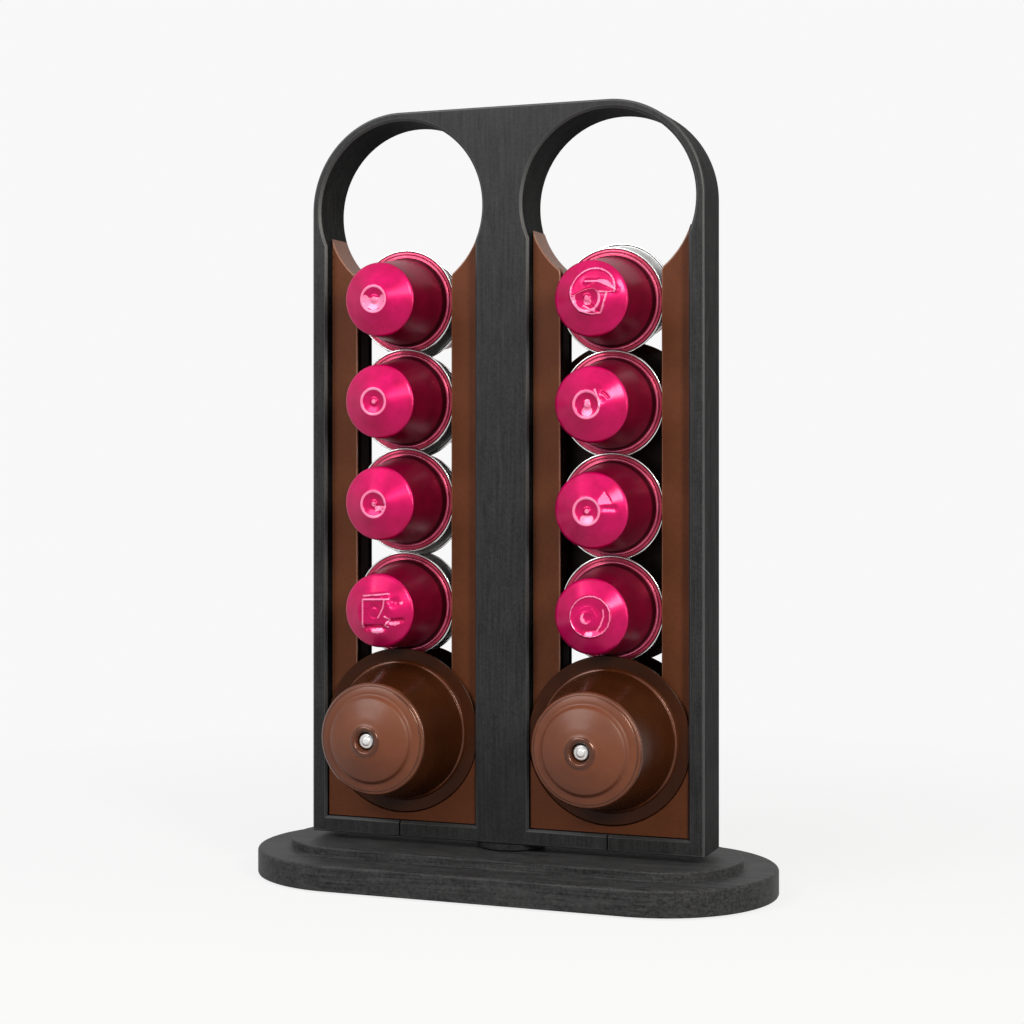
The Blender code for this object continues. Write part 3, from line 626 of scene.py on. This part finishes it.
def make_base():
    """Two tiers with round ends and softened edges, hollow for the pivot and the feet."""
    reach, bend = UNDER_EDGE
    sections = [(*LOWER_TIER, reach, FOOT_PROUD), (*LOWER_TIER, bend, FOOT_PROUD + bend),
                (*LOWER_TIER, 0.0, FOOT_PROUD + reach)]
    for depth, eased in reversed(round_edge(LOWER_TIER_TOP, LOWER_TIER_EDGE, 6)):
        sections.append((*LOWER_TIER, eased, depth))
    reach, bend = SEAM_EDGE
    sections += [(*UPPER_TIER, -reach, LOWER_TIER_TOP), (*UPPER_TIER, -bend, LOWER_TIER_TOP + bend),
                 (*UPPER_TIER, 0.0, LOWER_TIER_TOP + reach)]
    for depth, eased in reversed(round_edge(BASE_TOP, UPPER_TIER_EDGE)):
        sections.append((*UPPER_TIER, eased, depth))
    bm = bmesh.new()
    rings = [[bm.verts.new(p) for p in stadium(*section)] for section in sections]
    for near, far in zip(rings, rings[1:]):
        bridge(bm, near, far)
    bm.faces.new(rings[0])
    bm.faces.new(rings[-1])
    made = finish_piece("base_print", bm, ["base"], Matrix.Scale(MM, 4), "base", "charcoal_print",
                        "base")
    low = -CUT_BELOW - TOWER_BOTTOM
    above = BASE_TOP + CUT_ABOVE - TOWER_BOTTOM
    roof = POCKET_ROOF - TOWER_BOTTOM
    hollow = bmesh.new()
    revolve(hollow, [(0.0, low), (POCKET_RADIUS, low), (POCKET_RADIUS, roof), (SCREW_BORE, roof),
                     (SCREW_BORE, above), (0.0, above)], POCKET_STEPS)
    cut(made, hollow, 'DIFFERENCE')
    roof = FOOT_WELL_ROOF - TOWER_BOTTOM
    for x in (-FOOT_X, FOOT_X):
        for y in (-FOOT_Y, FOOT_Y):
            well = bmesh.new()
            revolve(well, [(0.0, low), (FOOT_WELL_RADIUS, low), (FOOT_WELL_RADIUS, roof), (0.0, roof)],
                    FOOT_WELL_STEPS)
            bmesh.ops.translate(well, vec=(x, y, 0.0), verts=well.verts)
            cut(made, well, 'DIFFERENCE')


def split_long(profile, indices, longest):
    """Divide the small capsule's spans that are longer than their finish allows."""
    points = [profile[0]]
    finishes = []
    for (start, end), index in zip(zip(profile, profile[1:]), indices):
        parts = max(1, math.ceil(math.dist(start, end) / longest[SMALL_FINISHES[index]]))
        for k in range(1, parts + 1):
            t = k / parts
            points.append((start[0] + (end[0] - start[0]) * t, start[1] + (end[1] - start[1]) * t))
            finishes.append(index)
    return points, finishes


# A finish, then points of radius, height and corner radius, from the nose to the rim's back
# The pale spans of the nose's middle, the dimple's crest and the flange's thin line are a painted
# highlight
SMALL_PARTS = [
    ("painted_highlight", [(0.0, 28.5, 0), (0.75, 28.45, 0)]),
    ("cap", [(0.75, 28.45, 0), (1.3, 28.0, 0.2), (1.75, 27.86, 0.2), (2.1, 27.92, 0.2),
             (3.75, 28.6, 0.2), (3.95, 28.8, 0)]),
    ("painted_highlight", [(3.95, 28.8, 0), (4.35, 28.93, 0.2), (4.8, 28.88, 0)]),
    ("cap", [(4.8, 28.88, 0), (5.2, 28.65, 0.2), (12.2, 23.95, 0.45), (12.72, 23.3, 0.25)]),
    ("body", [(12.72, 23.3, 0.25), (14.9, 3.2, 0)]),
    # The foot's darker band is painted shade
    ("foot", [(14.9, 3.2, 0), (15.1, 2.3, 0.4), (15.5, 1.55, 0.3), (15.68, 1.0, 0.15),
              (15.72, 0.74, 0.06)]),
    ("flange", [(15.72, 0.74, 0.06), (15.95, 0.66, 0)]),
    ("painted_highlight", [(15.95, 0.66, 0), (16.12, 0.84, 0.1), (16.3, 0.82, 0)]),
    ("flange", [(16.3, 0.82, 0), (16.35, 0.8, 0.02), (16.55, 0.6, 0.12), (17.0, 0.74, 0.3),
                (17.5, 0.58, 0.1), (17.75, 0.62, 0)]),
    ("rim", [(17.75, 0.62, 0), (17.9, 0.72, 0.08), (18.1, 0.8, 0.08), (18.38, 0.74, 0.15),
             (18.5, 0.4, 0.2), (18.38, 0.06, 0.15), (18.0, 0.0, 0.1), (17.65, 0.12, 0.1),
             (17.6, 0.5, 0.0), (0.0, 0.5, 0.0)]),
]
SMALL_FINISHES = ("cap", "body", "flange", "rim", "painted_highlight", "foot")

# How long a span may be: short where a front nose is dented
FRONT_SPANS = {"cap": 0.24, "painted_highlight": 0.24, "body": 1.5, "flange": 1.0, "foot": 1.0, "rim": 30.0}
REAR_SPANS = {"cap": 1.0, "painted_highlight": 1.0, "body": 3.0, "flange": 1.0, "foot": 1.0, "rim": 30.0}

# The darker brown spans of the sides, flange and outlet floor are painted shade
LARGE_PARTS = [
    ("brown_painted_shade", [(0.0, 29.2, 0), (2.85, 29.2, 0.2)]),
    ("copper", [(2.85, 29.2, 0.2), (3.25, 31.6, 0.5), (3.9, 32.35, 0.45), (4.75, 32.3, 0.45),
                (5.35, 31.75, 0.4)]),
    ("brown", [(5.35, 31.75, 0.4), (7.4, 31.25, 1.2), (9.7, 30.35, 1.2), (12.2, 29.35, 1.2),
               (14.2, 28.4, 0.5), (14.95, 27.15, 0.35), (15.4, 26.85, 0.3), (16.2, 26.75, 0.5),
               (17.65, 26.3, 0)]),
    ("copper", [(17.65, 26.3, 0), (17.95, 26.0, 0.15), (18.3, 26.0, 0)]),
    ("brown", [(18.3, 26.0, 0), (18.75, 25.7, 0)]),
    ("copper", [(18.75, 25.7, 0), (19.2, 25.2, 0.4), (19.35, 24.7, 0)]),
    ("brown_painted_shade", [(19.35, 24.7, 0), (21.2, 14.0, 1.0), (23.6, 2.6, 0)]),
    ("copper", [(23.6, 2.6, 0), (23.75, 2.1, 0.2), (24.3, 1.95, 0.45), (24.7, 0.9, 0)]),
    ("brown_painted_shade", [(24.7, 0.9, 0), (24.72, 0.8, 0.02), (28.55, 0.8, 0.1), (28.8, 0.6, 0.15),
                    (28.8, 0.1, 0.1), (28.6, 0.0, 0.1), (26.15, 0.0, 0.0), (26.1, 0.55, 0.0),
                    (0.0, 0.55, 0.0)]),
]
LARGE_FINISHES = ("brown", "copper", "brown_painted_shade")
BEAD = [(0.0, 29.4, 0), (2.55, 29.4, 0.2), (2.55, 30.5, 0.25), (2.0, 30.75, 0.3),
        (1.75, 30.7, 0.2), (1.4, 31.05, 0.3), (1.0, 31.35, 0.4), (0.0, 31.5, 0)]


def profile_of(parts, finishes):
    """Join the parts' rounded profiles and give each span its finish."""
    points = []
    indices = []
    for finish, corners in parts:
        smooth = rounded(corners)
        if points:
            smooth = smooth[1:]
        points += smooth
        indices += [finishes.index(finish)] * (len(points) - 1 - len(indices))
    return points, indices


# Dents keep to the cone of the nose and fade before its edge
CONE_LOW = 23.6
DENT_REACH = 12.1
DENT_FADE = 1.2
# A cut's fold fades over this height to both sides of its outline
FOLD_REACH = 0.2
# Painted highlight: this near to a cut's outline, in height, or to a fold at least this high, in plan
HIGHLIGHT_OVER = 0.11
HIGHLIGHT_GAP = 0.26
HIGHLIGHT_RISE = 0.19


def line_gap(x, y, points):
    """Distance from a place to a run of straight lines, in plan."""
    best = math.inf
    for (ax, ay), (bx, by) in zip(points, points[1:]):
        dx, dy = bx - ax, by - ay
        t = ((x - ax) * dx + (y - ay) * dy) / (dx * dx + dy * dy)
        t = min(1.0, max(0.0, t))
        best = min(best, math.hypot(x - ax - dx * t, y - ay - dy * t))
    return best


def cut_floor(groups, x, y):
    """Height that a cut goes down to: the lowest group of tilted planes, each at its highest."""
    return min(max(level + lean_x * x + lean_y * y for level, lean_x, lean_y in planes)
               for planes in groups)


def paint_highlights(bm, dents):
    """Give faces their finish before a nose is dented: the cap's own where it is cut, but the pale
    finish, a painted highlight, on folds, round cuts that have a fold, and on the listed highlight
    spots.
    """
    _, fold, *groups = dents.get("cut", (0.0, 0.0))
    folds = [points for _, rise, *points in dents.get("folds", ()) if rise >= HIGHLIGHT_RISE]
    for face in bm.faces:
        x, y, height = face.calc_center_median()
        if height < CONE_LOW or math.hypot(x, y) > DENT_REACH - DENT_FADE:
            continue
        over = height - cut_floor(groups, x, y) if groups else 0.0
        if over > HIGHLIGHT_OVER:
            face.material_index = SMALL_FINISHES.index("cap")
        # Folds, the outlines of cuts that have a fold, and the listed spots take the pale finish: a
        # painted highlight
        painted_highlight = any(line_gap(x, y, points) < HIGHLIGHT_GAP for points in folds)
        painted_highlight = painted_highlight or (fold > 0.0 and abs(over) < HIGHLIGHT_OVER)
        painted_highlight = painted_highlight or any(math.hypot(x - middle_x, y - middle_y) < radius
                           for middle_x, middle_y, radius in dents.get("highlight_spots", ()))
        if painted_highlight:
            face.material_index = SMALL_FINISHES.index("painted_highlight")


def crumple(bm, dents):
    """Push a nose in on tilted planes, sink hollows into it and raise folds on it.

    cut: bounce, fold height and groups of planes of level, lean to the right and upwards.
    hollow: x, y, radius, depth. fold: width, height and the places it runs through.
    highlight spots, read before denting: x, y and radius of a spot that takes the pale painted
    highlight.
    """
    bounce, fold, *groups = dents.get("cut", (0.0, 0.0))
    for vert in bm.verts:
        x, y, start = vert.co
        out = math.hypot(x, y)
        if start < CONE_LOW or out > DENT_REACH:
            continue
        height = start
        if groups:
            over = start - cut_floor(groups, x, y)
            height -= max(0.0, over) * (1.0 + bounce)
            height += fold * math.exp(-(over / FOLD_REACH) ** 2)
        for middle_x, middle_y, radius, depth in dents.get("hollows", ()):
            gap = math.hypot(x - middle_x, y - middle_y) / radius
            height -= depth * math.exp(-gap ** 2)
        for width, rise, *points in dents.get("folds", ()):
            gap = line_gap(x, y, points) / width
            height += rise * math.exp(-gap ** 2)
        vert.co.z = start + (height - start) * min(1.0, (DENT_REACH - out) / DENT_FADE)


# Each nose's listed spots take the pale painted highlight
DENTS = {
    "front_left_small_1": {
        "highlight_spots": [(-0.7, -6.6, 0.8), (0.6, -6.6, 1.0), (2.0, -6.4, 0.9), (5.9, -4.0, 0.6),
                   (7.0, -4.0, 0.7), (8.0, -3.9, 0.5), (9.1, 3.1, 0.45)],
        "cut": (0.0, 0.0, [(28.1, 0.0, 0.03)]),
        "hollows": [(6.4, 3.4, 1.4, 0.8)],
        "folds": [(0.42, 0.4, (-3.9, 5.4), (4.7, 6.2)), (0.35, 0.24, (-3.9, 4.1), (5.2, 4.4)),
                  (0.35, 0.26, (-4.1, 4.1), (-4.4, -5.5)), (1.05, -1.3, (-3.2, -5.5), (3.0, -5.5)),
                  (0.8, -0.9, (5.4, -3.1), (9.0, -2.9)),
                  (0.3, 0.2, (3.8, 3.9), (3.3, 1.4), (1.4, -2.0)),
                  (0.3, 0.25, (3.8, -1.6), (5.6, -2.4), (3.8, -4.7), (4.8, -5.2))],
    },
    "front_left_small_2": {
        "highlight_spots": [(0.9, -1.3, 0.7), (1.8, -1.4, 0.8), (2.7, -1.2, 0.6), (3.3, -1.0, 0.4)],
        "hollows": [(2.0, -2.6, 1.5, 0.35)],
        "folds": [(0.5, -0.45, (0.0, -0.5), (2.0, -0.7), (4.2, -0.4)),
                  (0.3, 0.2, (0.6, -2.4), (2.2, -1.8), (3.4, -2.4))],
    },
    "front_left_small_4": {
        "highlight_spots": [(0.0, -1.9, 2.0), (-1.8, -1.3, 1.8), (1.8, -1.3, 1.8), (0.0, -0.6, 1.3),
                   (-3.2, 0.3, 1.1), (3.2, 0.3, 1.1)],
    },
    "front_right_small_1": {
        "highlight_spots": [(-0.2, -5.5, 0.8), (0.9, -5.3, 0.7)],
        "cut": (0.3, 0.2, [(27.72, -0.085, -0.04)]),
        "folds": [(0.3, 0.2, (5.1, 2.6), (5.3, 0.5), (4.3, -2.4), (3.1, -4.2)),
                  (0.8, -0.35, (-0.6, -4.4), (3.0, -4.0)),
                  (0.3, 0.16, (1.6, 2.6), (2.8, 0.4), (2.4, -2.2))],
    },
    "front_right_small_2": {
        "highlight_spots": [(-1.1, -2.6, 1.2), (0.0, -2.8, 1.4), (1.1, -2.6, 1.2)],
        "cut": (0.0, 0.0, [(32.45, -0.613, -0.413), (26.3, 0.0, 0.0)]),
        "folds": [(1.0, -0.4, (5.6, 1.0), (8.6, 0.8))],
    },
    "front_right_small_3": {
        "highlight_spots": [(0.0, -2.3, 1.8), (0.1, -0.4, 1.2), (0.1, 0.9, 0.9)],
        "hollows": [(4.9, 1.6, 1.2, 0.35)],
        "folds": [(0.4, 0.36, (2.9, 5.0), (3.6, 3.4), (4.5, -0.8)),
                  (0.35, -0.35, (5.1, 4.1), (6.0, 3.4), (6.9, 2.3))],
    },
    "front_right_small_4": {
        "highlight_spots": [(0.1, -1.0, 1.3), (3.6, 5.6, 0.4), (4.3, 5.5, 0.6), (5.0, 5.3, 0.75),
                   (5.7, 5.0, 0.85), (6.4, 4.7, 0.85), (7.1, 4.2, 0.75), (7.8, 3.7, 0.6),
                   (8.4, 3.2, 0.4)],
        "cut": (0.0, 0.26, [(27.75, -0.147, -0.206), (31.25, 0.32, -1.1)],
                [(27.75, -0.147, -0.206), (33.28, -0.56, -1.1)]),
        "hollows": [(-3.6, -0.9, 1.0, 0.25)],
        "folds": [(0.3, 0.3, (4.4, 2.0), (6.6, 1.8), (6.1, -0.4), (5.1, -3.7), (4.4, -5.0),
                   (1.9, -5.4), (0.0, -5.1), (-2.4, -4.3), (-4.6, -1.8), (-5.9, 1.4), (-5.7, 3.9)),
                  (0.9, 0.5, (-0.8, 5.5), (3.0, 5.5), (6.5, 4.4), (9.0, 2.8)),
                  (0.4, -0.35, (0.6, -1.9), (4.0, -4.6)), (0.3, 0.2, (-1.0, -2.6), (2.6, -4.6))],
    },
}


def seat(name):
    """Where a capsule sits, leaning about its flange's middle: its own millimetres to the world."""
    side, column, kind, number = name.split("_")[:4]
    index = int(number) - 1
    bay = side + "_" + column
    if kind == "small":
        height = SMALL_HEIGHTS[bay][index]
        plane, tilt = SMALL_PLANE, SMALL_TILT
    else:
        height = LOWEST_LARGE + LARGE_PITCH * index
        stacked = bay == "rear_right"
        plane, tilt = (LARGE_PLANE_STACKED, LARGE_TILT) if stacked else (LARGE_PLANE_ALONE, 0.0)
    outwards = -1.0 if side == "front" else 1.0
    place = Vector((COLUMN_X[column], outwards * plane, TOWER_BOTTOM + height)) * MM
    turn = Matrix.Rotation(0.0 if side == "front" else math.pi, 4, 'Z')
    turn = turn @ Matrix.Rotation(math.pi / 2 + tilt, 4, 'X')
    return (Matrix.Translation(place) @ turn @ Matrix.Scale(MM, 4)
            @ Matrix.Translation((0.0, 0.0, -FLANGE_MIDDLE)))


def body_of(name):
    """The lift body of a bay's uppermost capsule, and the tower for all others."""
    side, column, kind, number = name.split("_")[:4]
    bay = side + "_" + column
    if kind == "small" and int(number) == len(SMALL_HEIGHTS[bay]):
        return bay + "_top_capsule"
    return "tower"


def make_small(name):
    """A small shell, dented where the photograph shows it, and its lid. Rear ones are coarser."""
    profile, indices = profile_of(SMALL_PARTS, SMALL_FINISHES)
    front = name.startswith("front")
    profile, indices = split_long(profile, indices, FRONT_SPANS if front else REAR_SPANS)
    bm = bmesh.new()
    revolve(bm, profile, FRONT_SMALL_STEPS if front else REAR_SMALL_STEPS, indices)
    if name in DENTS:
        paint_highlights(bm, DENTS[name])
        crumple(bm, DENTS[name])
    finish_piece(name + "_pressed", bm, SMALL_FINISHES, seat(name), body_of(name),
                 "pink_aluminium", name + "_shell")
    make_lid(name, SMALL_LID_RADIUS, "foil")


def make_large(name):
    """A large shell, its lid and the bead in its outlet."""
    profile, indices = profile_of(LARGE_PARTS, LARGE_FINISHES)
    bm = bmesh.new()
    revolve(bm, profile, LARGE_STEPS, indices)
    finish_piece(name + "_moulded", bm, LARGE_FINISHES, seat(name), body_of(name),
                 "brown_plastic", name + "_shell")
    # The large lid's near-black foil is painted shade
    make_lid(name, LARGE_LID_RADIUS, "painted_shade_foil")
    bm = bmesh.new()
    revolve(bm, rounded(BEAD), BEAD_STEPS)
    finish_piece(name + "_outlet", bm, ["bead"], seat(name), body_of(name), "silver_foil",
                 name + "_bead")


def make_lid(name, radius, finish):
    """Foil whose outer face stands in from its rim and carries a faint net of wrinkles."""
    bm = bmesh.new()
    outer_face = [(radius * k / LID_RINGS, 0.0) for k in range(LID_RINGS + 1)]
    revolve(bm, outer_face + [(radius, LID_THICKNESS), (0.0, LID_THICKNESS)], LID_STEPS)
    for vert in bm.verts:
        x, y, height = vert.co
        out = math.hypot(x, y) / radius
        if height < LID_THICKNESS / 2 and out < LID_FLAT:
            cell = Vector((x * WRINKLE_CELLS, y * WRINKLE_CELLS, len(name)))
            wrinkle = noise.noise(cell) * WRINKLE_RISE
            vert.co.z += LID_SWELL + wrinkle * (1 - out * out)
    finish_piece(name + "_foil", bm, [finish], seat(name), body_of(name), "silver_foil",
                 name + "_lid")


def dress_cad():
    """Carried-over CAD pieces keep their shape and take procedural finishes."""
    for node, key in (("foot_front_left", "rubber"), ("foot_front_right", "rubber"),
                      ("foot_rear_left", "rubber"), ("foot_rear_right", "rubber"),
                      ("pivot_screw", "steel"), ("pivot_washer", "steel"),
                      ("threaded_insert", "brass")):
        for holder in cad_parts[node].material_slots:
            holder.material = FINISH[key]


# Stage, lights and camera

BACKDROP = 0.94
AMBIENT = 0.28
AMBIENT_COLOUR = (0.97, 0.98, 1.0, 1.0)
WHITE = (1.0, 1.0, 1.0)
FLOOR_RADIUS = 4.0
FLOOR_GREY = 0.12
FLOOR_MOTTLE = 0.01
FLOOR_GLOW = 0.82
FADE_START = 0.14
FADE_END = 0.42
LIGHT_TARGET = (0.0, 0.0, 0.15)
LIGHTS = [
    # name, place, width and height, watts, colour
    ("key_front_left", (-0.30, -0.62, 0.64), (0.6, 0.4), 5.0, WHITE),
    ("softbox_right", (0.70, -0.61, 0.57), (0.18, 0.34), 6.2, (1.0, 0.96, 0.82)),
    ("strip_right", (0.92, -0.28, 0.30), (0.04, 0.5), 1.6, WHITE),
]


def background_share(tree):
    """One for the rays that see the background: camera, mirror and see-through rays."""
    rays = add(tree, "ShaderNodeLightPath")
    share = math_of(tree, "MAXIMUM", rays.outputs["Is Camera Ray"], rays.outputs["Is Glossy Ray"])
    return math_of(tree, "MAXIMUM", share, rays.outputs["Is Transmission Ray"])


def make_world():
    """White where it is seen or mirrored, and a dim even light for everything else."""
    world = bpy.data.worlds.new("studio")
    bpy.context.scene.world = world
    world.use_nodes = True
    tree = world.node_tree
    tree.nodes.clear()
    seen = add(tree, "ShaderNodeBackground", Color=(*WHITE, 1.0), Strength=BACKDROP)
    light = add(tree, "ShaderNodeBackground", Color=AMBIENT_COLOUR, Strength=AMBIENT)
    pick = add(tree, "ShaderNodeMixShader")
    tree.links.new(background_share(tree), pick.inputs[0])
    tree.links.new(light.outputs[0], pick.inputs[1])
    tree.links.new(seen.outputs[0], pick.inputs[2])
    out = add(tree, "ShaderNodeOutputWorld")
    tree.links.new(pick.outputs[0], out.inputs["Surface"])


def make_floor():
    """Pale sweep: it keeps the soft shadow near the object and fades into the backdrop."""
    bm = bmesh.new()
    bmesh.ops.create_circle(bm, cap_ends=True, segments=96, radius=FLOOR_RADIUS)
    mesh = bpy.data.meshes.new("floor")
    bm.to_mesh(mesh)
    bm.free()
    floor = bpy.data.objects.new("floor", mesh)
    bpy.context.scene.collection.objects.link(floor)
    made, tree, shader = new_material("pale_floor")
    tree.nodes.remove(shader)
    tone = noise_field(tree, (3.0, 3.0, 3.0), 2.0)
    low, high = FLOOR_GREY, FLOOR_GREY + FLOOR_MOTTLE
    colour = blend_colour(tree, tone, (low, low, low, 1.0), (high, high, high, 1.0))
    matt = add(tree, "ShaderNodeBsdfDiffuse", Color=colour)
    glow = add(tree, "ShaderNodeEmission",
               Strength=math_of(tree, "MULTIPLY", background_share(tree), FLOOR_GLOW))
    near = add(tree, "ShaderNodeAddShader")
    tree.links.new(matt.outputs[0], near.inputs[0])
    tree.links.new(glow.outputs[0], near.inputs[1])
    far = add(tree, "ShaderNodeEmission",
              Strength=math_of(tree, "MULTIPLY", background_share(tree), BACKDROP))
    place = add(tree, "ShaderNodeTexCoord")
    length = add(tree, "ShaderNodeVectorMath", {"operation": "LENGTH"}, Vector=place.outputs["Object"])
    share = spread(tree, length.outputs["Value"], FADE_START, FADE_END, 0.0, 1.0)
    pick = add(tree, "ShaderNodeMixShader")
    tree.links.new(share, pick.inputs[0])
    tree.links.new(near.outputs[0], pick.inputs[1])
    tree.links.new(far.outputs[0], pick.inputs[2])
    tree.links.new(pick.outputs[0], tree.nodes["Material Output"].inputs["Surface"])
    mesh.materials.append(made)


def make_light(name, place, size, power, colour):
    """A rectangular area light that points at the part's middle."""
    data = bpy.data.lights.new(name, 'AREA')
    data.shape = 'RECTANGLE'
    data.size, data.size_y = size
    data.energy = power
    data.color = colour
    made = bpy.data.objects.new(name, data)
    bpy.context.scene.collection.objects.link(made)
    made.location = place
    aim = Vector(LIGHT_TARGET) - Vector(place)
    made.rotation_euler = aim.to_track_quat('-Z', 'Y').to_euler()


def make_camera():
    data = bpy.data.cameras.new("camera")
    data.sensor_fit = 'HORIZONTAL'
    data.sensor_width = 36.0
    data.lens = CAMERA_LENS
    data.shift_y = CAMERA_SHIFT
    data.clip_start = 0.01
    made = bpy.data.objects.new("camera", data)
    bpy.context.scene.collection.objects.link(made)
    made.location = CAMERA_PLACE
    made.rotation_euler = (math.pi / 2, 0.0, math.radians(CAMERA_TURN))
    bpy.context.scene.camera = made


make_camera()
bpy.context.scene.view_settings.view_transform = 'Standard'
make_world()
make_floor()
for entry in LIGHTS:
    make_light(*entry)

make_base()
make_frame()
for column in COLUMN_X:
    make_insert(column)
for node in sorted(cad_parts):
    if node.endswith("_shell"):
        make = make_small if "_small_" in node else make_large
        make(node.removesuffix("_shell"))
dress_cad()
